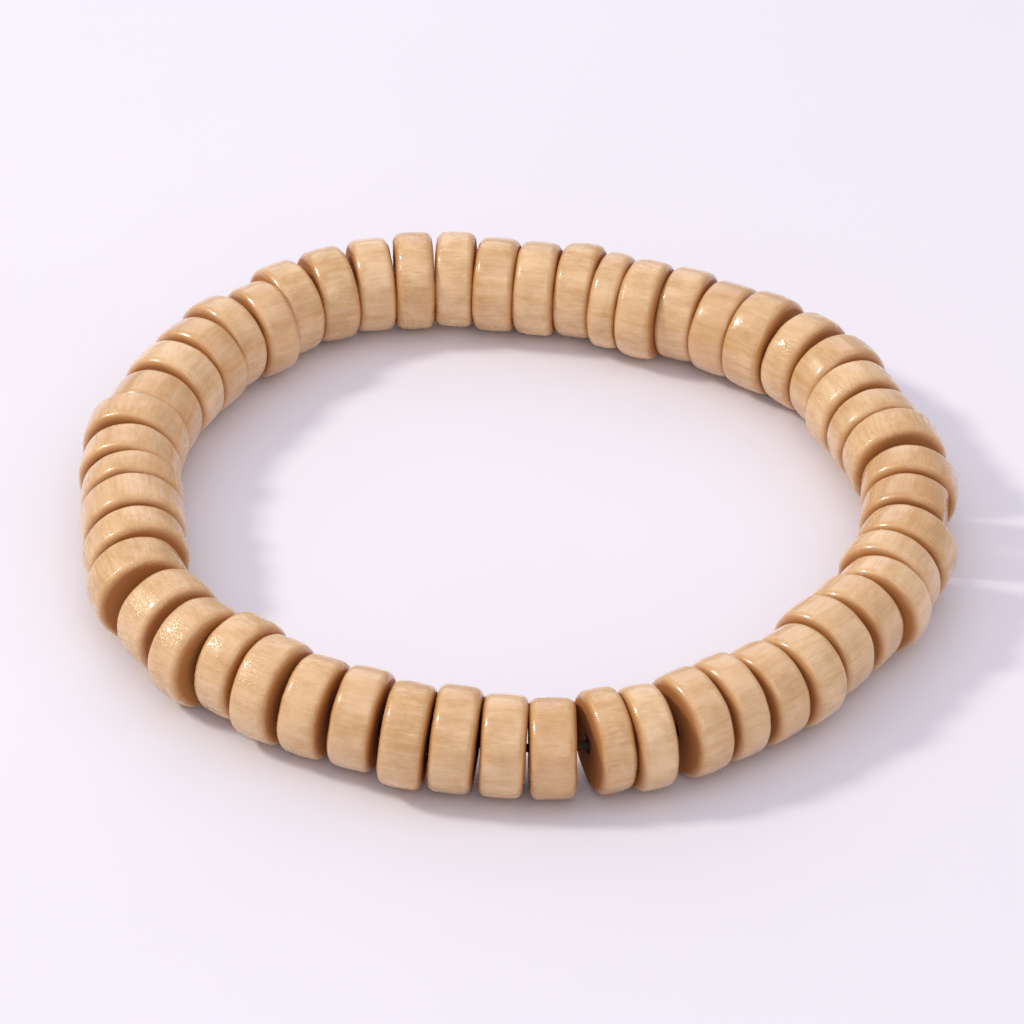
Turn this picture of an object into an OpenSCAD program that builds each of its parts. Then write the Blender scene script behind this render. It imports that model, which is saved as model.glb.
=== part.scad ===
// Stretch bracelet of flat wooden disc beads on an elastic cord, lying on a table.
// +Z is up, +X is to the right and +Y points away from the viewer.
// The origin is on the table, under the middle of the whole bracelet.

/* [Beads] */
// Size added to each bead's own diameter in the bead table
across_add = 0; // [-0.4:0.05:0.4]
// Radius that rounds the two rim edges of a bead
edge_r = 0.7; // [0.4:0.05:0.9]
// Width added to each bead's own width in the bead table
width_add = 0; // [-0.3:0.05:0.6]
// Diameter of the hole drilled along a bead
hole_d = 2.4; // [2.3:0.1:3]
// Clear gap between a bead and the next where they come closest
bead_gap = 0.12; // [0.12:0.02:0.3]
// Depth of the flat on the outer side of the one bead that has it
flat_depth = 0.95; // [0.3:0.05:1.2]

/* [Loop] */
// How far the loop is pulled oval, as a share of its radius
oval = 0.025; // [0:0.005:0.04]
// Bearing of the oval's long way, clockwise from straight away from the viewer
oval_at = -55; // [-90:5:90]
// How far the loop is pulled to three rounded corners, as a share of its radius
three_sided = 0.01; // [0:0.005:0.02]
// Bearing of the first of those corners
three_at = -35; // [-60:5:60]
// How far the loop is pulled to four rounded corners, as a share of its radius
four_sided = 0.015; // [0:0.005:0.02]
// Bearing of the first of those corners
four_at = -20; // [-45:5:45]

/* [Cord] */
// Diameter of the elastic cord
cord_d = 0.7; // [0.4:0.1:0.8]

/* [Hidden] */
$fn = 64;
// The name of every node

wood = "#d9a86c";
elastic = "#523a26";

// Bearing of the first bead, clockwise from straight away from the viewer
first_bearing = -35;
// Distance from bead to bead that the fitting of the loop starts from
usual_pitch = 3.9;
// Rounds of working out that fit the loop's size to its beads
fit_rounds = 4;
// Rounds of working out that set the distance from a bead to the next
step_rounds = 3;
// How far a cut runs past the faces it cuts through
past = 1;
// Sides of the cord, which is modelled as a prism that follows the beads
cord_sides = 8;
// The bead with a flat on its outer side, as its row in the table less one
flat_bead = 19;

// One row for each bead, clockwise from the far side, in millimetres and degrees:
// its width, its diameter, how far it stands outwards from the loop's line, how far
// it is turned to the left seen from above, how far its leading face is tipped up,
// and the spare room that is left after it.
WIDTH = 0;
ACROSS = 1;
OUT = 2;
TURN = 3;
TIP = 4;
SLACK = 5;
beads = [
    [3.2, 7.9, -0.6, -3, 0, 0], // 1
    [3.2, 7.9, -0.65, -6, 0, 0], // 2
    [3.1, 7.9, -0.75, -7, 0, 0], // 3
    [3.05, 8.2, -1.2, -6, 0, 0], // 4
    [3.1, 8.05, -1.15, -4, 0, 0], // 5
    [3.25, 8.05, -1.8, -2, 0, 0], // 6
    [3.25, 7.95, -1.75, 3, 0, 0], // 7
    [3.1, 8.05, -1.1, 4, 0, 0], // 8
    [2.4, 8.15, -1.65, 4, 0, 0], // 9
    [3.1, 8.3, -1.75, 6, 0, 0], // 10
    [3.2, 7.85, -0.6, 7, 0, 0], // 11
    [3.35, 7.9, -0.75, 4, 0, 0], // 12
    [3.5, 8.4, -0.75, 4, 0, 0.25], // 13
    [3, 8.2, -0.45, 1, 0, 0], // 14
    [3.3, 8.1, -0.4, -4, 0, 0.15], // 15
    [3.35, 8.15, -1.25, -1, 0, 0], // 16
    [3, 8, -1.15, 0, 0, 0], // 17
    [3.4, 8.25, -0.65, 3, 0, 0.2], // 18
    [3.15, 8, -0.05, -4, 0, 0], // 19
    [3.6, 7.8, -0.1, -2, 0, 0.5], // 20
    [3.35, 8.3, 0.4, -6, 0, 0], // 21
    [2.85, 8.3, 0.1, -4, 0, 0], // 22
    [2.8, 8.1, 0.7, -2, 0, 0], // 23
    [3.45, 8, -0.2, 0, 0, 0], // 24
    [3.5, 8.25, -0.35, -2, 0, 0.15], // 25
    [3.35, 8.15, 0.35, 0, 0, 0], // 26
    [3.25, 8.2, 0.05, 3, 0, 0], // 27
    [2.9, 8.6, 0, 4, 0, 0], // 28
    [3.15, 8.6, 0.25, 7, 0, 0], // 29
    [2.95, 8.4, 0.6, 2, 0, 0], // 30
    [2.8, 8.35, 0.2, 7, 0, 0], // 31
    [3.5, 8.05, 0.6, -1, 0, 0], // 32
    [3.4, 8.2, 0.5, 3, 3, 0], // 33
    [3.35, 8.6, 0.5, 5, 4, 0.15], // 34
    [3.35, 8.5, 0.9, 8, 5, 0.1], // 35
    [3.35, 8.3, 0.1, 7, 4, 0], // 36
    [3.25, 8.2, 0.25, 4, 2, 0], // 37
    [3.35, 8.55, 0.3, 2, 0, 0], // 38
    [3.25, 8.5, -0.45, 1, 0, 0], // 39
    [3.25, 8.65, 0.65, 1, 0, 0.75], // 40
    [3.6, 8.2, -0.1, 1, 0, 0.4], // 41
    [3.65, 8.2, 0.05, -4, 0, 0], // 42
    [3.2, 8.5, -0.95, -2, 0, 0], // 43
    [3.75, 8.6, -1.4, -1, 0, 0], // 44
    [2.75, 8.45, -1.45, 0, 0, 0], // 45
    [3.35, 8.35, -0.95, 0, 0, 0], // 46
    [3.3, 8.6, -0.65, 0, 0, 0.1], // 47
    [3.75, 7.9, -0.8, 0, 0, 0], // 48
    [3.5, 8.15, -0.9, -2, 0, 0], // 49
    [3.15, 8.2, -1.1, -3, 0, 0], // 50
    [2.95, 8.15, -0.8, -6, 0, 0], // 51
    [3.1, 7.9, -1.6, -10, 0, 0], // 52
];
count = len(beads);

// A unit vector along v
function unit(v) = v / norm(v);

// Width of bead i
function width(i) = beads[i][WIDTH] + width_add;

// Diameter of bead i
function across(i) = beads[i][ACROSS] + across_add;

// How far bead i reaches from its middle in a direction that makes the given angle
// with its axis. It is a disc with rounded rim edges.
function reach(i, angle) =
    (across(i) / 2 - edge_r) * sin(angle)
    + (width(i) / 2 - edge_r) * abs(cos(angle))
    + edge_r;

// How far bead i reaches from its middle in the unit direction d
function bead_reach(i, axis, d) = reach(i, acos(max(-1, min(1, axis * d))));

// Radius of the loop's line at a bearing, as a share of its mean radius
function line_share(bearing) =
    1
    + oval * cos(2 * (bearing - oval_at))
    + three_sided * cos(3 * (bearing - three_at))
    + four_sided * cos(4 * (bearing - four_at));

// How fast that share grows with the bearing, for each radian
function line_slope(bearing) =
    -2 * oval * sin(2 * (bearing - oval_at))
    - 3 * three_sided * sin(3 * (bearing - three_at))
    - 4 * four_sided * sin(4 * (bearing - four_at));

// Direction of bead i's axis when it stands at a bearing
function axis_at(i, bearing) =
    let (
        heading = atan2(line_slope(bearing), line_share(bearing)) - bearing + beads[i][TURN],
        tip = beads[i][TIP]
    )
    [cos(tip) * cos(heading), cos(tip) * sin(heading), sin(tip)];

// Middle of bead i at a bearing, on a loop of radius r. Its rim rests on the table.
function middle_at(i, bearing, r) =
    let (
        out = r * line_share(bearing) + beads[i][OUT],
        up = reach(i, 90 - abs(beads[i][TIP]))
    )
    [out * sin(bearing), out * cos(bearing), up];

// Room between bead i at bearing a and bead j at bearing b, along the mean of their axes
function room(i, a, j, b, r) =
    let (
        from = axis_at(i, a),
        to = axis_at(j, b),
        along = unit(from + to)
    )
    (middle_at(j, b, r) - middle_at(i, a, r)) * along
        - bead_reach(i, from, along) - bead_reach(j, to, along);

// Bearing of bead j, next after bead i at bearing a, so that the room is as asked
function next_bearing(i, a, j, r, guess, rounds = step_rounds) =
    rounds == 0 ? guess :
    let (error = room(i, a, j, guess, r) - bead_gap - beads[i][SLACK])
    next_bearing(i, a, j, r, guess - error / (r * line_share(guess)) * 180 / PI, rounds - 1);

// Bearings of all the beads on a loop of radius r, and once more of the first
function bearings(r, found = [first_bearing]) =
    len(found) > count ? found :
    let (
        i = len(found) - 1,
        j = len(found) % count,
        guess = found[i] + width(i) / r * 180 / PI
    )
    bearings(r, concat(found, [next_bearing(i, found[i], j, r, guess)]));

// Radius at which the string of beads closes on itself
function closed_radius(r, rounds = fit_rounds) =
    rounds == 0 ? r :
    closed_radius(r * (bearings(r)[count] - first_bearing) / 360, rounds - 1);

loop_r = closed_radius(count * usual_pitch / (2 * PI));
stations = bearings(loop_r);
// What the last step leaves over, shared out over all the beads
stretch = 360 / (stations[count] - first_bearing);
bearing = [for (i = [0 : count - 1]) first_bearing + (stations[i] - first_bearing) * stretch];
axes = [for (i = [0 : count - 1]) axis_at(i, bearing[i])];
middles = [for (i = [0 : count - 1]) middle_at(i, bearing[i], loop_r)];

// The bracelet's own box, from how far each bead reaches, puts the origin in its middle
function far_end(d) = max([for (i = [0 : count - 1]) middles[i] * d + bead_reach(i, axes[i], d)]);
centre = [
    (far_end([1, 0, 0]) - far_end([-1, 0, 0])) / 2,
    (far_end([0, 1, 0]) - far_end([0, -1, 0])) / 2,
    0
];

// Middle of the cord in the gap from bead i to bead j, half way between the ends of
// their two holes
function cord_middle(i, j) =
    (middles[i] + axes[i] * width(i) / 2 + middles[j] - axes[j] * width(j) / 2) / 2 - centre;

// The corners of the cord's prism in the gap from bead i to bead j
function cord_ring(i, j) =
    let (
        side = unit(cross(axes[i] + axes[j], [0, 0, 1])),
        up = unit(cross(side, axes[i] + axes[j]))
    )
    [for (k = [0 : cord_sides - 1])
        let (angle = k * 360 / cord_sides)
        cord_middle(i, j) + cord_d / 2 * (cos(angle) * side + sin(angle) * up)];

// A disc bead of width w and diameter d with its hole, about the Z axis
module one_bead(w, d) {
    flat_d = d - 2 * edge_r;
    rim_w = w - 2 * edge_r;
    difference() {
        union() {
            cylinder(d = flat_d, h = w, center = true);
            cylinder(d = d, h = rim_w, center = true);
            for (side = [-1, 1])
                translate([0, 0, side * rim_w / 2])
                    rotate_extrude()
                        translate([flat_d / 2, 0])
                            intersection() {
                                circle(r = edge_r);
                                translate([0, -edge_r])
                                    square([edge_r, 2 * edge_r]);
                            }
        }
        cylinder(d = hole_d, h = w + 2 * past, center = true);
    }
}

// The same bead with a flat cut along its +Y side, which is the outer side in the loop
module flat_sided_bead(w, d) {
    difference() {
        one_bead(w, d);
        translate([-d / 2 - past, d / 2 - flat_depth, -w / 2 - past])
            cube([d + 2 * past, flat_depth + past, w + 2 * past]);
    }
}

module wood_beads() {
    color(wood)
        for (i = [0 : count - 1])
            translate(middles[i] - centre)
                rotate([0, 90 - beads[i][TIP], atan2(axes[i].y, axes[i].x)])
                    if (i == flat_bead)
                        flat_sided_bead(width(i), across(i));
                    else
                        one_bead(width(i), across(i));
}

module elastic_cord() {
    rings = [for (i = [0 : count - 1]) cord_ring(i, (i + 1) % count)];
    // The number of corner k of ring i
    function corner(i, k) = (i % count) * cord_sides + k % cord_sides;
    color(elastic)
        polyhedron(
            points = [for (ring = rings) for (point = ring) point],
            faces = [
                for (i = [0 : count - 1])
                    for (k = [0 : cord_sides - 1])
                        for (half = [0, 1])
                            half == 0
                                ? [corner(i, k), corner(i, k + 1), corner(i + 1, k + 1)]
                                : [corner(i, k), corner(i + 1, k + 1), corner(i + 1, k)]
            ]
        );
}

wood_beads();
elastic_cord();
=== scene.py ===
# %% [markdown]
# # A wooden disc bead bracelet
#
# The bracelet is a stretch bracelet: 52 flat discs of pale, lacquered wood, threaded side by side
# on an elastic cord that closes into a ring. It lies on a table as it was put down, so the ring
# isn't quite round and no two beads stand quite alike.
#
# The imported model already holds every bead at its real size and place. This script measures those
# beads, turns one detailed bead, gives each place a copy of its own, and then finishes the wood,
# the cord, the table and the light.

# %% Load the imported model, and keep its box
import math
import random

import bmesh
import bpy
import numpy as np
from mathutils import Matrix, Vector
from mathutils.bvhtree import BVHTree


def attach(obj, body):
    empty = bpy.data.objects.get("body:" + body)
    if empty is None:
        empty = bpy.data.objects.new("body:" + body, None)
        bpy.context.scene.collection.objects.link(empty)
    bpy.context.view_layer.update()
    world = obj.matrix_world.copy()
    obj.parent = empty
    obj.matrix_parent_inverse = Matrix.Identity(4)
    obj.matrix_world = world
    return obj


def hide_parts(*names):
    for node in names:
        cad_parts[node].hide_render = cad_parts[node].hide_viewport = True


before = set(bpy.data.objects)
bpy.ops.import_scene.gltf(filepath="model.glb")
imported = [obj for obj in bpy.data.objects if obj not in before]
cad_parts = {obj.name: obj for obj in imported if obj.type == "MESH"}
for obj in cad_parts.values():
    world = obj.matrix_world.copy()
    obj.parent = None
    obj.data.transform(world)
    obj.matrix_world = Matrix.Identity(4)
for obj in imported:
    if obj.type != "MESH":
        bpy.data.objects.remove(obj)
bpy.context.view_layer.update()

MM = 0.001

# %% [markdown]
# ## The camera
#
# The photograph looks down on the table at about 37 degrees through a long lens, which is why the
# far beads look nearly as tall as the near ones. A camera 64 cm away with a 277 mm lens on the
# usual 36 mm sensor gives that view. It could be placed by eye in the viewport, but a direction, a
# distance and a point to look at are easier to read and to change.

# %% Place the camera
VIEW_DOWN = math.radians(37)
VIEW_DISTANCE = 0.64
LOOKS_AT = Vector((-0.49, -1.0, 4.0)) * MM
LENS_LENGTH = 277.2
SENSOR_WIDTH = 36
NEAREST_SEEN = 0.01
FARTHEST_SEEN = 20

camera_data = bpy.data.cameras.new("camera")
camera_data.lens = LENS_LENGTH
camera_data.sensor_width = SENSOR_WIDTH
camera_data.clip_start = NEAREST_SEEN
camera_data.clip_end = FARTHEST_SEEN
camera = bpy.data.objects.new("camera", camera_data)
bpy.context.scene.collection.objects.link(camera)
towards_camera = Vector((0, -math.cos(VIEW_DOWN), math.sin(VIEW_DOWN)))
camera.location = LOOKS_AT + VIEW_DISTANCE * towards_camera
camera.rotation_euler = (-towards_camera).to_track_quat("-Z", "Y").to_euler()
bpy.context.scene.camera = camera
print("the camera stands at", [round(c, 3) for c in camera.location], "m")

# %% [markdown]
# ## Measure the beads
#
# Each bead of the real bracelet has its own width and stands its own way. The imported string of
# beads has all of that, so the beads are measured instead of being placed again by hand. A copy of
# the string is merged and parted into its loose pieces. Every piece tells its middle, its axis, its
# radius and its width, and how near the next bead comes. The string itself is never changed.
#
# The axis is the direction in which most of a disc's surface faces, which is what the largest
# eigenvector of its area-weighted normals says. One bead has a flat on its outer side. The outer
# side is therefore left out when a bead's middle is found, and then it says how deep the flat is.

# %% Part a copy of the string into its beads
SAME_POINT = 0.0005 * MM


def select_only(piece):
    """Deselects everything else, and makes piece the active object."""
    bpy.ops.object.select_all(action="DESELECT")
    piece.select_set(True)
    bpy.context.view_layer.objects.active = piece


select_only(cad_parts["wood_beads"])
bpy.ops.object.duplicate()
bpy.context.object.parent = None
bpy.ops.object.mode_set(mode="EDIT")
bpy.ops.mesh.select_all(action="SELECT")
bpy.ops.mesh.remove_doubles(threshold=SAME_POINT)
bpy.ops.mesh.separate(type="LOOSE")
bpy.ops.object.mode_set(mode="OBJECT")
loose = [piece for piece in bpy.context.selected_objects if piece.type == "MESH"]
print("the string has", len(loose), "loose beads")


# %% Find the axis of a bead
def corners(mesh):
    """All the vertices of a mesh, one in each row."""
    flat = np.empty(3 * len(mesh.vertices))
    mesh.vertices.foreach_get("co", flat)
    return flat.reshape(-1, 3)


def find_axis(mesh, middle):
    """The direction in which most of a bead's surface faces, clockwise round the ring."""
    areas = np.empty(len(mesh.polygons))
    normals = np.empty(3 * len(mesh.polygons))
    mesh.polygons.foreach_get("area", areas)
    mesh.polygons.foreach_get("normal", normals)
    normals = normals.reshape(-1, 3)
    axis = np.linalg.eigh((normals * areas[:, None]).T @ normals)[1][:, -1]
    if axis[0] * middle[1] - axis[1] * middle[0] < 0:
        axis = -axis
    return axis


sample = loose[0].data
print("one bead's axis is", find_axis(sample, corners(sample).mean(axis=0)).round(2))

# %% Measure one bead
FLAT_SHOWS = 0.1 * MM


def measure(mesh):
    """A bead's place, as a matrix from its own space, with its radius, half width and flat."""
    points = corners(mesh)
    axis = find_axis(mesh, points.mean(axis=0))
    outward = np.cross((0, 0, 1), axis)
    outward /= np.linalg.norm(outward)
    up = np.cross(axis, outward)
    along = points @ axis
    high = points @ up
    out = points @ outward
    radius = np.ptp(high) / 2
    middle_out = out.min() + radius
    middle = (
        axis * (along.min() + along.max()) / 2
        + up * (high.min() + high.max()) / 2
        + outward * middle_out
    )
    place = Matrix(np.column_stack((outward, up, axis)).tolist()).to_4x4()
    place.translation = Vector(middle)
    flat_at = out.max() - middle_out
    return {
        "place": place,
        "radius": float(radius),
        "half_width": float(np.ptp(along) / 2),
        "flat_at": float(flat_at) if flat_at < radius - FLAT_SHOWS else None,
    }


print("its diameter is", round(2 * measure(sample)["radius"] / MM, 2), "mm")

# %% Measure them all, clockwise from the far left
FIRST_BEARING = -40

beads = []
for piece in loose:
    bead = measure(piece.data)
    bead["corners"] = [point.co.copy() for point in piece.data.vertices]
    faces = [tuple(face.vertices) for face in piece.data.polygons]
    bead["surface"] = BVHTree.FromPolygons(bead["corners"], faces)
    beads.append(bead)
for piece in loose:
    bpy.data.meshes.remove(piece.data)


def bearing(bead):
    """Degrees clockwise from the far side, counted from a little before the first bead."""
    x, y, _ = bead["place"].translation
    return (math.degrees(math.atan2(x, y)) - FIRST_BEARING) % 360


def from_to(values):
    """The least and the largest of some lengths, in millimetres."""
    return f"from {min(values) / MM:.2f} to {max(values) / MM:.2f} mm"


beads.sort(key=bearing)
print("widths", from_to([2 * bead["half_width"] for bead in beads]))
print("diameters", from_to([2 * bead["radius"] for bead in beads]))
print("beads with a flat:", [n for n, bead in enumerate(beads, 1) if bead["flat_at"]])

# %% Measure how near each next bead comes
following_beads = beads[1:] + beads[:1]
for bead, following in zip(beads, following_beads):
    bead["gap"] = min(following["surface"].find_nearest(point)[3] for point in bead["corners"])
print("gaps", from_to([bead["gap"] for bead in beads]))

# %% [markdown]
# ## Turn the pattern bead
#
# A disc bead is parted off a turned and drilled rod, and its sharp edges are tumbled round. The
# pattern is made the same way: a cylinder of the mean size, whose ends are inset to the size of the
# hole and then bridged, which drills it. The mouths of the hole get a small bevel and the rim's two
# edges a large one. The rim is then cut into rings, and the outer rings are drawn in, because real
# rims are a little crowned. A lathe profile given to Spin or Screw would do as well, but this way
# every loop stays easy to find by its place.

# %% Start from a disc with its hole
SIDES = 72
BEAD_RADIUS = sum(bead["radius"] for bead in beads) / len(beads)
PATTERN_HALF_WIDTH = 1.65 * MM
HOLE_RADIUS = 0.8 * MM
END_RING = 1.3 * MM
FACES_ALONG = 0.9


def pick(piece, rule, kind):
    """In edit mode, selects the vertices, edges or faces that a rule on their places accepts."""
    bpy.ops.mesh.select_all(action="DESELECT")
    bpy.ops.mesh.select_mode(type=kind)
    shape = bmesh.from_edit_mesh(piece.data)
    if kind == "FACE":
        for face in shape.faces:
            face.select_set(rule(face.normal))
    elif kind == "EDGE":
        for edge in shape.edges:
            edge.select_set(rule(edge.verts[0].co, edge.verts[1].co))
    else:
        for point in shape.verts:
            point.select_set(rule(point.co))
        shape.select_flush_mode()
    bmesh.update_edit_mesh(piece.data)


bpy.ops.object.select_all(action="DESELECT")
bpy.ops.mesh.primitive_cylinder_add(
    vertices=SIDES, radius=BEAD_RADIUS, depth=2 * PATTERN_HALF_WIDTH, end_fill_type="NGON"
)
pattern = bpy.context.object
pattern.name = "pattern_bead"
bpy.ops.object.mode_set(mode="EDIT")
pick(pattern, lambda normal: abs(normal.z) > FACES_ALONG, "FACE")
bpy.ops.mesh.inset(thickness=END_RING)
bpy.ops.mesh.inset(thickness=BEAD_RADIUS - END_RING - HOLE_RADIUS)
bpy.ops.mesh.bridge_edge_loops(type="SINGLE", use_merge=False)
bpy.ops.object.mode_set(mode="OBJECT")
print("the drilled disc is", round(2 * BEAD_RADIUS / MM, 2), "mm across")

# %% Break the mouths of the hole, and round the rim's edges
NEAR = 0.02 * MM
MOUTH_BREAK = 0.1 * MM
EDGE_ROUND = 0.75 * MM


def on_ring(a, b, radius):
    """True for an edge that runs round an end face at a radius."""
    return (
        abs(a.z - b.z) < NEAR
        and abs(abs(a.z) - PATTERN_HALF_WIDTH) < NEAR
        and abs(a.xy.length - radius) < NEAR
        and abs(b.xy.length - radius) < NEAR
    )


hole_edge = min(point.co.xy.length for point in pattern.data.vertices)
bpy.ops.object.mode_set(mode="EDIT")
pick(pattern, lambda a, b: on_ring(a, b, hole_edge), "EDGE")
bpy.ops.mesh.bevel(offset=MOUTH_BREAK, segments=2, affect="EDGES")
pick(pattern, lambda a, b: on_ring(a, b, BEAD_RADIUS), "EDGE")
bpy.ops.mesh.bevel(offset=EDGE_ROUND, segments=7, profile=0.5, affect="EDGES")
bpy.ops.object.mode_set(mode="OBJECT")
print("its hole is", round(2 * hole_edge / MM, 2), "mm across")

# %% Cut the rim into rings, and crown it
STRAIGHT = PATTERN_HALF_WIDTH - EDGE_ROUND
HALFWAY_OUT = BEAD_RADIUS / 2
CROWN = 0.005

bpy.ops.object.mode_set(mode="EDIT")
pick(pattern, lambda a, b: abs(a.z - b.z) > STRAIGHT and a.xy.length > HALFWAY_OUT, "EDGE")
bpy.ops.mesh.subdivide(number_cuts=5)
# Every pass draws in the rings from some height on, so the outermost ones are drawn in most
for height in (1 / 3, 2 / 3, 1):
    lowest = height * STRAIGHT - NEAR
    drawn_in = 1 - CROWN * height
    pick(pattern, lambda at: abs(at.z) > lowest and at.xy.length > HALFWAY_OUT, "VERT")
    bpy.ops.transform.resize(value=(drawn_in, drawn_in, 1), center_override=(0, 0, 0))
bpy.ops.object.mode_set(mode="OBJECT")
print("the pattern bead has", len(pattern.data.polygons), "faces")

# %% [markdown]
# ## The cord's way, and the holes for it
#
# The elastic runs through the middle of every gap, and nearly straight from one gap to the next.
# Holes are drilled somewhat wider than the cord, 1.6 mm here. Some beads stand out of line, and the
# cord would cut into their wood, so their holes are made as wide as the cord needs. The beads could
# be moved into line instead, but then they wouldn't stand as they do in the photograph.

# %% Where the cord passes, and how wide each hole has to be for it
CORD_RADIUS = 0.35 * MM
CORD_ROOM = 0.1 * MM


def mouth(bead, side):
    """The middle of one end of a bead's hole."""
    return bead["place"] @ Vector((0, 0, side * bead["half_width"]))


for bead, following in zip(beads, following_beads):
    bead["cord_after"] = (mouth(bead, 1) + mouth(following, -1)) / 2
    following["cord_before"] = bead["cord_after"]
for bead in beads:
    home = bead["place"].inverted()
    strays = max((home @ bead[end]).xy.length for end in ("cord_before", "cord_after"))
    bead["hole"] = max(HOLE_RADIUS, strays + CORD_RADIUS + CORD_ROOM)
print("holes", from_to([2 * bead["hole"] for bead in beads]), "across")

# %% [markdown]
# ## Give every place its own bead
#
# No two beads come off the lathe alike. Each copy of the pattern first gets its own diameter and
# its own hole, and is then drawn out to its measured width, with the rounded edges kept as they
# are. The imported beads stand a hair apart, but real ones press on each other. So each end is moved
# out by half its gap and a little more, and only the wide gaps stay open. One end also becomes
# slightly larger than the other, so the rim leans by a few hundredths of a millimetre.
#
# Scaling the whole object would be shorter, but it would also stretch the rounded edges.


# %% Give a copy its own diameter and hole
def size_rings(piece, rim_size, hole_size):
    """Scales the rim and the rings beside it about the axis, and then the hole and its mouths."""
    select_only(piece)
    bpy.ops.object.mode_set(mode="EDIT")
    pick(piece, lambda at: at.xy.length > HALFWAY_OUT, "VERT")
    bpy.ops.transform.resize(value=(rim_size, rim_size, 1), center_override=(0, 0, 0))
    pick(piece, lambda at: at.xy.length < HALFWAY_OUT, "VERT")
    bpy.ops.transform.resize(value=(hole_size, hole_size, 1), center_override=(0, 0, 0))
    bpy.ops.object.mode_set(mode="OBJECT")


larger = sum(bead["radius"] > BEAD_RADIUS for bead in beads)
print(larger, "beads become larger than the pattern, and", len(beads) - larger, "smaller")

# %% Draw out a copy to its width, and let it lean
PRESS = 0.025 * MM
WIDEST_PRESS = 0.11 * MM


def draw_out(piece, before, after, lean):
    """Stretches the straight part of a rim, and moves and slightly scales the rounded ends."""
    select_only(piece)
    bpy.ops.object.mode_set(mode="EDIT")
    grow = {-1: before - PATTERN_HALF_WIDTH, 1: after - PATTERN_HALF_WIDTH}
    for side in (-1, 1):
        stretch = 1 + grow[side] / STRAIGHT
        end_size = 1 + side * lean
        pick(piece, lambda at: NEAR < side * at.z < STRAIGHT - NEAR, "VERT")
        bpy.ops.transform.resize(value=(1, 1, stretch), center_override=(0, 0, 0))
        pick(piece, lambda at: side * at.z > STRAIGHT - NEAR, "VERT")
        bpy.ops.transform.translate(value=(0, 0, side * grow[side]))
        bpy.ops.transform.resize(value=(end_size, end_size, 1), center_override=(0, 0, 0))
    bpy.ops.object.mode_set(mode="OBJECT")


for bead in beads:
    bead["reach"] = min(bead["gap"] / 2 + PRESS, WIDEST_PRESS)
touching = sum(bead["gap"] < 2 * bead["reach"] for bead in beads)
print(touching, "of the", len(beads), "gaps close")

# %% Cut the flat of the one bead that has it
FLAT_EDGE = 0.08 * MM


def cut_flat(piece, distance):
    """Takes off what lies further out than distance, closes the cut and breaks its edges."""
    select_only(piece)
    bpy.ops.object.mode_set(mode="EDIT")
    bpy.ops.mesh.select_all(action="SELECT")
    bpy.ops.mesh.bisect(
        plane_co=(distance, 0, 0), plane_no=(1, 0, 0), use_fill=True, clear_outer=True
    )
    pick(piece, lambda a, b: min(a.x, b.x) > distance - NEAR / 4, "EDGE")
    bpy.ops.mesh.bevel(offset=FLAT_EDGE, segments=3, profile=0.5, affect="EDGES")
    bpy.ops.object.mode_set(mode="OBJECT")


for bead in beads:
    if bead["flat_at"]:
        print("one bead's flat is", round((bead["radius"] - bead["flat_at"]) / MM, 2), "mm deep")

# %% [markdown]
# ## The unevenness of each bead
#
# A polished bead is never a perfect disc: shallow hollows and lumps bend its highlights. Two
# Displace modifiers with cloud textures make them, one broad and one small, once the bead is in its
# place, so that no two beads get the same ones. The modifiers are applied, so the unevenness is in
# the mesh. Sculpting by hand would give the same, but it takes long and can't be repeated.

# %% The clouds that make the wood uneven
BROAD_LUMP = 2.6 * MM
BROAD_DEPTH = 0.14 * MM
SMALL_LUMP = 0.9 * MM
SMALL_DEPTH = 0.035 * MM


def clouds(name, size):
    """A soft noise for a Displace modifier, with lumps of a size in metres."""
    texture = bpy.data.textures.new(name, "CLOUDS")
    texture.noise_scale = size
    texture.noise_depth = 1
    return texture


def uneven(piece, texture, depth):
    """Moves the surface in and out by up to half of depth, and applies it."""
    modifier = piece.modifiers.new("uneven", "DISPLACE")
    modifier.texture = texture
    modifier.texture_coords = "LOCAL"
    modifier.direction = "NORMAL"
    modifier.mid_level = 0.5
    modifier.strength = depth
    select_only(piece)
    bpy.ops.object.modifier_apply(modifier="uneven")


broad_lumps = clouds("broad_lumps", BROAD_LUMP)
small_lumps = clouds("small_lumps", SMALL_LUMP)
print("the surface moves by up to", round((BROAD_DEPTH + SMALL_DEPTH) / 2 / MM, 3), "mm")

# %% [markdown]
# ## What each bead tells its wood
#
# The wood's pattern has to follow each bead and not the table. Every copy therefore stores where
# its points lie in its own space, in millimetres, together with a shift that takes each bead from
# another part of the rod. Five more attributes say where the bore is, how much of the surface is
# end grain, how ruddy the wood is, how dark it is, and how far its grain stands up under the
# lacquer. A UV map could carry the pattern too, but it would show a seam where it closes.

# %% Store where each point lies in its bead
NEAREST_PITH = 6
FARTHEST_PITH = 14
ROD_LENGTH = 900


def keep(mesh, name, kind, values):
    """Stores one value for each vertex under a name that materials can read."""
    field = "vector" if kind == "FLOAT_VECTOR" else "value"
    attribute = mesh.attributes.new(name, kind, "POINT")
    attribute.data.foreach_set(field, np.asarray(values, np.float32).ravel())


def own_points(piece, bead):
    """Each point's place in the bead's own space, in millimetres."""
    back = np.array(bead["place"].inverted())
    return (corners(piece.data) @ back[:3, :3].T + back[:3, 3]) / MM


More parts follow.
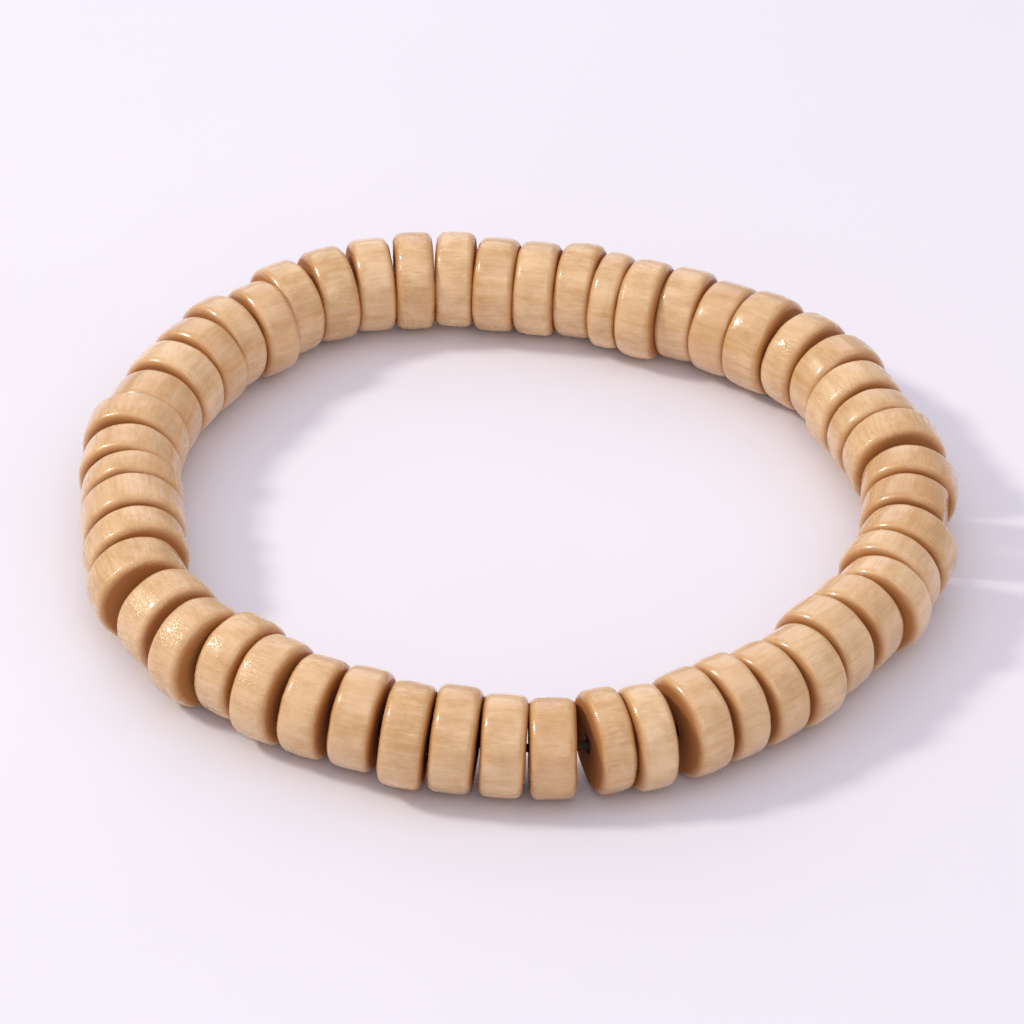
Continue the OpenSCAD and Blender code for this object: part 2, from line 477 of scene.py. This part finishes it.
def keep_place(piece, bead, chance):
    """Stores each point's place in the rod that the bead was cut from, in millimetres."""
    own = own_points(piece, bead)
    turn = chance.uniform(0, 2 * math.pi)
    x = own[:, 0] * math.cos(turn) - own[:, 1] * math.sin(turn)
    y = own[:, 0] * math.sin(turn) + own[:, 1] * math.cos(turn)
    pith = chance.uniform(NEAREST_PITH, FARTHEST_PITH)
    along_rod = own[:, 2] + chance.uniform(0, ROD_LENGTH)
    keep(piece.data, "rod_place", "FLOAT_VECTOR", np.column_stack((x + pith, y, along_rod)))


# %% Store where the bore and the end grain are
def keep_ends(piece, bead):
    """Marks the hole, and stores how squarely each point faces along the fibres."""
    own = own_points(piece, bead)
    bore_radius = (bead["hole"] + MOUTH_BREAK / 2) / MM
    # The bore's mark is where the wood is painted darkest, as painted shade inside the hole
    keep(piece.data, "bore", "FLOAT", np.hypot(own[:, 0], own[:, 1]) < bore_radius)
    normals = np.empty(3 * len(piece.data.vertices))
    piece.data.vertex_normals.foreach_get("vector", normals)
    axis = np.array(bead["place"])[:3, 2]
    keep(piece.data, "end_grain", "FLOAT", abs(normals.reshape(-1, 3) @ axis))


# %% Say how ruddy, dark and grainy each bead is
USUALLY_UP_TO = 0.4
RUDDY_BEADS = {12: 0.8, 19: 0.5, 20: 1, 28: 0.4, 32: 0.8, 36: 0.4, 48: 0.4, 52: 0.6}
RAISED_BEADS = {
    4: 0.8, 5: 0.6, 8: 0.8, 10: 0.8, 14: 1, 16: 0.8, 18: 0.6, 31: 0.5, 35: 0.6,
    37: 0.8, 38: 1, 39: 0.6, 40: 1, 41: 1, 42: 1, 43: 0.6,
}


def keep_character(piece, number, chance):
    """Stores what the photograph shows of a bead's wood, or else a modest amount by chance."""
    ruddy = RUDDY_BEADS.get(number, chance.uniform(0, USUALLY_UP_TO))
    dark = chance.random()
    raised = RAISED_BEADS.get(number, chance.uniform(0, USUALLY_UP_TO))
    for name, value in (("ruddy", ruddy), ("dark", dark), ("raised", raised)):
        keep(piece.data, name, "FLOAT", [value] * len(piece.data.vertices))


print(len(RUDDY_BEADS), "beads are ruddy, and", len(RAISED_BEADS), "have raised grain")

# %% Make all the beads
GRAIN_SEED = 11
LEAN = 0.008
OVAL = 0.008
SMOOTH_BELOW = math.radians(40)


def shape_bead(piece, bead, last, chance):
    """Turns a copy of the pattern into the bead of one place, and sets it there."""
    size_rings(piece, bead["radius"] / BEAD_RADIUS, bead["hole"] / HOLE_RADIUS)
    before = bead["half_width"] + last["reach"]
    after = bead["half_width"] + bead["reach"]
    draw_out(piece, before, after, chance.uniform(-LEAN, LEAN))
    oval = Matrix.Scale(1 - chance.uniform(0, OVAL), 4, (1, 0, 0))
    spin = Matrix.Rotation(chance.uniform(0, math.pi), 4, "Z")
    piece.data.transform(spin @ oval)
    if bead["flat_at"]:
        cut_flat(piece, bead["flat_at"])
    piece.data.transform(bead["place"])
    uneven(piece, broad_lumps, BROAD_DEPTH)
    uneven(piece, small_lumps, SMALL_DEPTH)
    bpy.ops.object.shade_smooth_by_angle(angle=SMOOTH_BELOW)


chance = random.Random(GRAIN_SEED)
made = []
last = beads[-1]
for number, bead in enumerate(beads, 1):
    piece = bpy.data.objects.new(f"bead_{number:02d}", pattern.data.copy())
    bpy.context.scene.collection.objects.link(piece)
    shape_bead(piece, bead, last, chance)
    keep_place(piece, bead, chance)
    keep_ends(piece, bead)
    keep_character(piece, number, chance)
    made.append(piece)
    last = bead
bpy.data.objects.remove(pattern)
print(len(made), "beads with", sum(len(piece.data.polygons) for piece in made), "faces in all")

# %% [markdown]
# ## The elastic cord
#
# Beads like these are strung on a thin elastic, pulled tight and closed into a ring. It runs
# through the middle of the gaps between the beads, where a glimpse of it may show. A cyclic
# curve with a round bevel follows those middles and is then turned into a mesh, which is how a
# cord is drawn with the fewest points. A circle swept by Spin would miss the gaps, because the
# string isn't round.

# %% Draw the cord through the gaps
line = bpy.data.curves.new("elastic_ring", "CURVE")
line.dimensions = "3D"
line.bevel_depth = CORD_RADIUS
line.bevel_resolution = 3
line.resolution_u = 4
spline = line.splines.new("BEZIER")
spline.bezier_points.add(len(beads) - 1)
for point, bead in zip(spline.bezier_points, beads):
    point.co = bead["cord_after"]
    point.handle_left_type = "AUTO"
    point.handle_right_type = "AUTO"
spline.use_cyclic_u = True
print("the cord is", round(spline.calc_length() / MM, 1), "mm long")
cord = bpy.data.objects.new("elastic_ring", line)
bpy.context.scene.collection.objects.link(cord)
select_only(cord)
bpy.ops.object.convert(target="MESH")
cord = bpy.context.object
bpy.ops.object.shade_smooth()
print("the cord's mesh has", len(cord.data.polygons), "faces")

# %% [markdown]
# ## The wood
#
# The beads are cut across a thin rod, so the fibres run along each bead's axis: fine streaks over
# the rim, fine dots on the ends. Noise that is drawn out along the axis gives both at once,
# because it is a solid pattern that the bead is cut from. Broader noise makes the pale and dark
# patches, and faint rings round the pith add the bands of yearly growth. A photograph of wood could
# be wrapped round the rim, but it wouldn't go on over the edge and into the end.
#
# The ends and the rounded edges are darker and browner, because end grain drinks the finish. On the
# ends this brown is partly painted shade as well, for the shade in the narrow gaps where the end
# faces look at each other. The bore is darkest, and its dark is painted shade, for the shade inside
# the hole.


# %% Helpers for building a material
def material(name):
    """A new node material, with its node tree and its Principled shader."""
    made_of = bpy.data.materials.new(name)
    made_of.use_nodes = True
    return made_of, made_of.node_tree, made_of.node_tree.nodes["Principled BSDF"]


def feed(tree, value, socket):
    """Links a value to a socket, or sets it there if it is a plain number or colour."""
    if isinstance(value, bpy.types.NodeSocket):
        tree.links.new(value, socket)
    else:
        socket.default_value = value


def node(tree, kind, inputs=(), **settings):
    """Adds a node, sets its properties, and sets or links its inputs."""
    added = tree.nodes.new(kind)
    for key, value in settings.items():
        setattr(added, key, value)
    for key, value in dict(inputs).items():
        feed(tree, value, added.inputs[key])
    return added


def blend(tree, factor, a, b):
    """A colour between a and b, as a colour socket."""
    mix = node(tree, "ShaderNodeMix", data_type="RGBA")
    for value, socket in zip((factor, a, b), (mix.inputs[0], mix.inputs[6], mix.inputs[7])):
        feed(tree, value, socket)
    return mix.outputs[2]


def spread(tree, value, low, high, to_low=0.0, to_high=1.0):
    """Maps a value from one range to another, and holds it there."""
    ranges = {"From Min": low, "From Max": high, "To Min": to_low, "To Max": to_high}
    return node(tree, "ShaderNodeMapRange", {"Value": value, **ranges}).outputs[0]


def maths(tree, how, a, b):
    """One step of arithmetic."""
    return node(tree, "ShaderNodeMath", {0: a, 1: b}, operation=how).outputs[0]


# %% Helpers for the patterns
def stored(tree, name, output="Fac"):
    """A value that the mesh has stored for each point."""
    return node(tree, "ShaderNodeAttribute", attribute_name=name).outputs[output]


def lengthened(tree, place, share):
    """A place that counts only a share of the way along the axis, so that patterns get longer."""
    return node(tree, "ShaderNodeMapping", {"Vector": place, "Scale": (1, 1, share)}).outputs[0]


def noise(tree, place, scale, detail, roughness):
    """A solid noise, with a scale in lumps to the unit of place."""
    settings = {"Vector": place, "Scale": scale, "Detail": detail, "Roughness": roughness}
    return node(tree, "ShaderNodeTexNoise", settings).outputs[0]


# %% The patterns in the wood
wood, tree, shader = material("lacquered_wood")
place = stored(tree, "rod_place", "Vector")
along_fibres = lengthened(tree, place, share=0.12)
fibres = noise(tree, along_fibres, scale=2.6, detail=6, roughness=0.7)
pores = noise(tree, along_fibres, scale=8, detail=3, roughness=0.6)
patches = noise(tree, place, scale=0.45, detail=3, roughness=0.55)
growth = {"Vector": along_fibres, "Scale": 0.22, "Distortion": 3, "Detail": 2, "Detail Scale": 0.6}
waves = node(tree, "ShaderNodeTexWave", growth, wave_type="RINGS", rings_direction="Z")
rings = waves.outputs["Fac"]
print("the patterns take", len(tree.nodes) - 2, "nodes")

# %% How dark the wood is
# Each pattern, the range over which it is read, and the least and most that it darkens the wood
DARKENING = (
    (fibres, 0.3, 0.7, 0, 0.55),
    (patches, 0.35, 0.65, 0, 0.45),
    (rings, 0, 1, 0, 0.15),
    (stored(tree, "dark"), 0, 1, -0.18, 0.18),
    (pores, 0.35, 0.65, -0.12, 0.12),
)
tone = 0.0
for amount, low, high, least, most in DARKENING:
    tone = maths(tree, "ADD", tone, spread(tree, amount, low, high, least, most))
print(len(DARKENING), "things darken the wood")

# %% Colour the wood
PALE = (0.83, 0.565, 0.315, 1)
HONEY = (0.61, 0.355, 0.145, 1)
RUDDY = (0.60, 0.31, 0.12, 1)
AMBER = (0.62, 0.32, 0.10, 1)
# The end faces' brown is partly the end grain's own colour and partly painted shade for the narrow
# gaps between the beads
END_AND_GAP_SHADE = (0.41, 0.15, 0.034, 1)
# Painted shade for the inside of the hole
BORE_SHADE = (0.13, 0.05, 0.02, 1)
MOST_RUDDY = 0.55
MOST_AMBER = 0.55
MOST_END = 0.9

end_grain = stored(tree, "end_grain")
# How much of each colour lies over those before it
LAYERS = (
    (spread(tree, tone, 0.2, 1.0), HONEY),
    (maths(tree, "MULTIPLY", stored(tree, "ruddy"), MOST_RUDDY), RUDDY),
    (spread(tree, end_grain, 0.15, 0.7, 0, MOST_AMBER), AMBER),
    # The ends' brown: partly end grain, partly painted shade for the gaps between the beads
    (spread(tree, end_grain, 0.6, 0.98, 0, MOST_END), END_AND_GAP_SHADE),
    # The bore painted dark, as painted shade inside the hole
    (stored(tree, "bore"), BORE_SHADE),
)
colour = PALE
for share, layer in LAYERS:
    colour = blend(tree, share, colour, layer)
tree.links.new(colour, shader.inputs["Base Color"])
print(len(LAYERS), "layers of colour lie over the palest wood")

# %% [markdown]
# ## The raised grain and the lacquer
#
# The lacquer is clear and glossy, so the shader is a satin wood under a smooth coat. Lacquer lifts
# the fibres of some beads. Their surface is rougher there, and the coat lies on them only in spots,
# which breaks the highlights into glints. The end faces are dull, with hardly any coat. One even
# coat over a stronger bump was the other way, but its highlights blur instead of breaking up.

# %% Raise the grain
GRAIN_HEIGHT = 0.075 * MM
PORE_SHARE = 0.45
SPECK_SHARE = 0.55
LEAST_RAISED = 0.12

raised = stored(tree, "raised")
specks = noise(tree, place, scale=4.2, detail=3, roughness=0.6)
pore_height = maths(tree, "MULTIPLY", pores, PORE_SHARE)
speck_height = maths(tree, "MULTIPLY", specks, SPECK_SHARE)
height = maths(tree, "ADD", pore_height, speck_height)
height = maths(tree, "MULTIPLY", height, spread(tree, raised, 0, 1, LEAST_RAISED, 1.0))
bump = node(tree, "ShaderNodeBump", {"Height": height, "Strength": 1.0, "Distance": GRAIN_HEIGHT})
tree.links.new(bump.outputs[0], shader.inputs["Normal"])
print("the grain stands up by as much as", round(GRAIN_HEIGHT / MM, 3), "mm")

# %% Coat the wood, and let the ends stay dull
COAT_ROUGHNESS = 0.05
COAT_IOR = 1.5
COAT_WEIGHT = 0.8
SMOOTH_ROUGHNESS = 0.3
OPEN_ROUGHNESS = 0.38
GLINT_ROUGHNESS = 0.1
FACE_ROUGHNESS = 0.8

open_grain = spread(tree, raised, 0.1, 0.6)
smooth_part = maths(tree, "SUBTRACT", 1.0, open_grain)
strokes = lengthened(tree, place, share=0.45)
spots = noise(tree, strokes, scale=3.6, detail=2, roughness=0.6)
glossy = spread(tree, spots, 0.46, 0.52)
coated = maths(tree, "ADD", smooth_part, maths(tree, "MULTIPLY", open_grain, glossy))
off_face = spread(tree, end_grain, 0.85, 0.99, COAT_WEIGHT, 0.0)
tree.links.new(maths(tree, "MULTIPLY", coated, off_face), shader.inputs["Coat Weight"])
shader.inputs["Coat Roughness"].default_value = COAT_ROUGHNESS
shader.inputs["Coat IOR"].default_value = COAT_IOR

where_smooth = maths(tree, "MULTIPLY", smooth_part, SMOOTH_ROUGHNESS)
in_spots = spread(tree, glossy, 0, 1, OPEN_ROUGHNESS, GLINT_ROUGHNESS)
where_open = maths(tree, "MULTIPLY", open_grain, in_spots)
on_face = spread(tree, end_grain, 0.85, 0.99, 0.0, FACE_ROUGHNESS)
roughness = maths(tree, "MAXIMUM", maths(tree, "ADD", where_smooth, where_open), on_face)
tree.links.new(roughness, shader.inputs["Roughness"])
print("the wood has", len(tree.nodes), "nodes")

# %% [markdown]
# ## The elastic's finish
#
# The gaps between the beads are dark with shade, and a pale elastic would show in them. So the
# elastic is dark brown and dull, and its dark is painted shade that lets the cord pass for the shade
# in the gaps. One flat brown would do from afar, but up close it looks like paint, so two browns
# lie over it in faint clouds, and a fine bump breaks its sheen. The table needs such clouds too, so
# they are a node group, built once and given its own tones in each material.

# %% Faint clouds of two tones, for any material
faint_clouds = bpy.data.node_groups.new("faint_clouds", "ShaderNodeTree")
GROUP_SOCKETS = (
    ("Place", "INPUT", "NodeSocketVector"),
    ("Scale", "INPUT", "NodeSocketFloat"),
    ("Detail", "INPUT", "NodeSocketFloat"),
    ("One Tone", "INPUT", "NodeSocketColor"),
    ("Other Tone", "INPUT", "NodeSocketColor"),
    ("Colour", "OUTPUT", "NodeSocketColor"),
    ("Cloud", "OUTPUT", "NodeSocketFloat"),
)
for name, way, kind in GROUP_SOCKETS:
    faint_clouds.interface.new_socket(name, in_out=way, socket_type=kind)
given = faint_clouds.nodes.new("NodeGroupInput").outputs
cloud = noise(faint_clouds, given["Place"], given["Scale"], given["Detail"], roughness=0.5)
share = spread(faint_clouds, cloud, 0.3, 0.7)
tones = blend(faint_clouds, share, given["One Tone"], given["Other Tone"])
node(faint_clouds, "NodeGroupOutput", {"Colour": tones, "Cloud": cloud})


def clouded(tree, scale, detail, one_tone, other_tone):
    """Places the clouds in a material, and gives their colour and their own value."""
    place = node(tree, "ShaderNodeTexCoord").outputs["Object"]
    sizes = {"Place": place, "Scale": scale, "Detail": detail}
    tones = {"One Tone": one_tone, "Other Tone": other_tone}
    placed = node(tree, "ShaderNodeGroup", {**sizes, **tones}, node_tree=faint_clouds)
    return placed.outputs["Colour"], placed.outputs["Cloud"]


print("the group has", len(faint_clouds.nodes), "nodes")

# %% Brown elastic
# These dark browns are painted shade: they let the cord pass for the shade in the gaps between the
# beads
BROWN = (0.055, 0.027, 0.012, 1)
DEEP_BROWN = (0.035, 0.017, 0.008, 1)
CORD_SPECULAR = 0.25
CORD_BUMP = 0.01 * MM

elastic, tree, shader = material("brown_elastic")
colour, cloud = clouded(tree, scale=900, detail=2, one_tone=BROWN, other_tone=DEEP_BROWN)
tree.links.new(colour, shader.inputs["Base Color"])
tree.links.new(spread(tree, cloud, 0.3, 0.7, 0.6, 0.75), shader.inputs["Roughness"])
shader.inputs["Specular IOR Level"].default_value = CORD_SPECULAR
bump = node(tree, "ShaderNodeBump", {"Height": cloud, "Strength": 0.5, "Distance": CORD_BUMP})
tree.links.new(bump.outputs[0], shader.inputs["Normal"])
print("the elastic has", len(tree.nodes), "nodes")

# %% [markdown]
# ## Hand the pieces over
#
# The bracelet has no joints, so every piece rides on the root. The beads take the place of the
# packed string of beads and the cord that of the imported cord, and each piece gets its material.
# The beads could be joined into one mesh first, but apart they can still be picked one by one.

# %% Hand over the beads and the cord
for piece in made:
    piece.data.materials.clear()
    piece.data.materials.append(wood)
    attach(piece, "root")
    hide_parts("wood_beads")
cord.data.materials.clear()
cord.data.materials.append(elastic)
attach(cord, "root")
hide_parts("elastic_cord")
print("handed over", len(made) + 1, "pieces")

# %% [markdown]
# ## The table and the light
#
# The photograph is a studio shot on a very pale, faintly lilac table. Its shadows tell where the
# light is. Inside the ring they fall to the right and a little towards the viewer, about as far
# as the beads are tall, so the main light stands to the left, slightly behind, some 41 degrees up.
# The same direction puts the small white highlight on the near left edge of every bead.
#
# Broad, weak lights do the rest. One on the right gives the soft second streak, one overhead keeps
# the table even, one behind and one in front lighten the far and the near beads, and a bright room
# fills the shadows. A single picture of a studio as the world would do it too, but then no light
# could be moved on its own.

# %% The table
TABLE_SIDE = 3
LILAC = (0.83, 0.812, 0.89, 1)
DEEPER_LILAC = (0.80, 0.785, 0.862, 1)
TABLE_ROUGHNESS = 0.55

bpy.ops.object.select_all(action="DESELECT")
bpy.ops.mesh.primitive_plane_add(size=TABLE_SIDE)
table = bpy.context.object
table.name = "table"
surface, tree, shader = material("pale_table")
colour, _ = clouded(tree, scale=14, detail=3, one_tone=LILAC, other_tone=DEEPER_LILAC)
tree.links.new(colour, shader.inputs["Base Color"])
shader.inputs["Roughness"].default_value = TABLE_ROUGHNESS
table.data.materials.append(surface)
print("the table is", TABLE_SIDE, "m wide")

# %% The lights
# Name, direction, distance and width in metres, power in watts, and colour
LIGHTS = (
    ("main_light", (-0.75, 0.105, 0.654), 0.8, 0.135, 2.95, (1.0, 0.95, 0.84)),
    ("ceiling_light", (-0.1, -0.15, 0.95), 0.9, 1.3, 2.5, (1.0, 0.97, 1.04)),
    ("back_light", (-0.1, 0.85, 0.5), 0.9, 0.66, 0.9, (1.0, 0.98, 1.0)),
    ("right_light", (0.67, 0.08, 0.74), 0.9, 0.6, 0.55, (1.0, 0.93, 0.95)),
    ("front_light", (0.25, -0.75, 0.6), 0.9, 0.7, 1.15, (1.0, 0.955, 0.83)),
)


def softbox(name, direction, distance, size, power, colour):
    """Adds a round light that shines on the middle of the bracelet from a direction."""
    lamp = bpy.data.lights.new(name, "AREA")
    lamp.shape = "DISK"
    lamp.size = size
    lamp.energy = power
    lamp.color = colour
    light = bpy.data.objects.new(name, lamp)
    bpy.context.scene.collection.objects.link(light)
    towards = Vector(direction).normalized()
    light.location = towards * distance
    light.rotation_euler = towards.to_track_quat("Z", "Y").to_euler()


for light in LIGHTS:
    softbox(*light)
print(len(LIGHTS), "lights shine on the bracelet")

# %% The bright room
ROOM_COLOUR = (0.94, 0.905, 1.0, 1)
ROOM_STRENGTH = 0.49

room = bpy.data.worlds.new("bright_room")
bpy.context.scene.world = room
room.use_nodes = True
air = room.node_tree.nodes["Background"]
air.inputs["Color"].default_value = ROOM_COLOUR
air.inputs["Strength"].default_value = ROOM_STRENGTH
bpy.context.scene.view_settings.view_transform = "Standard"
print("the room's light has a strength of", ROOM_STRENGTH)
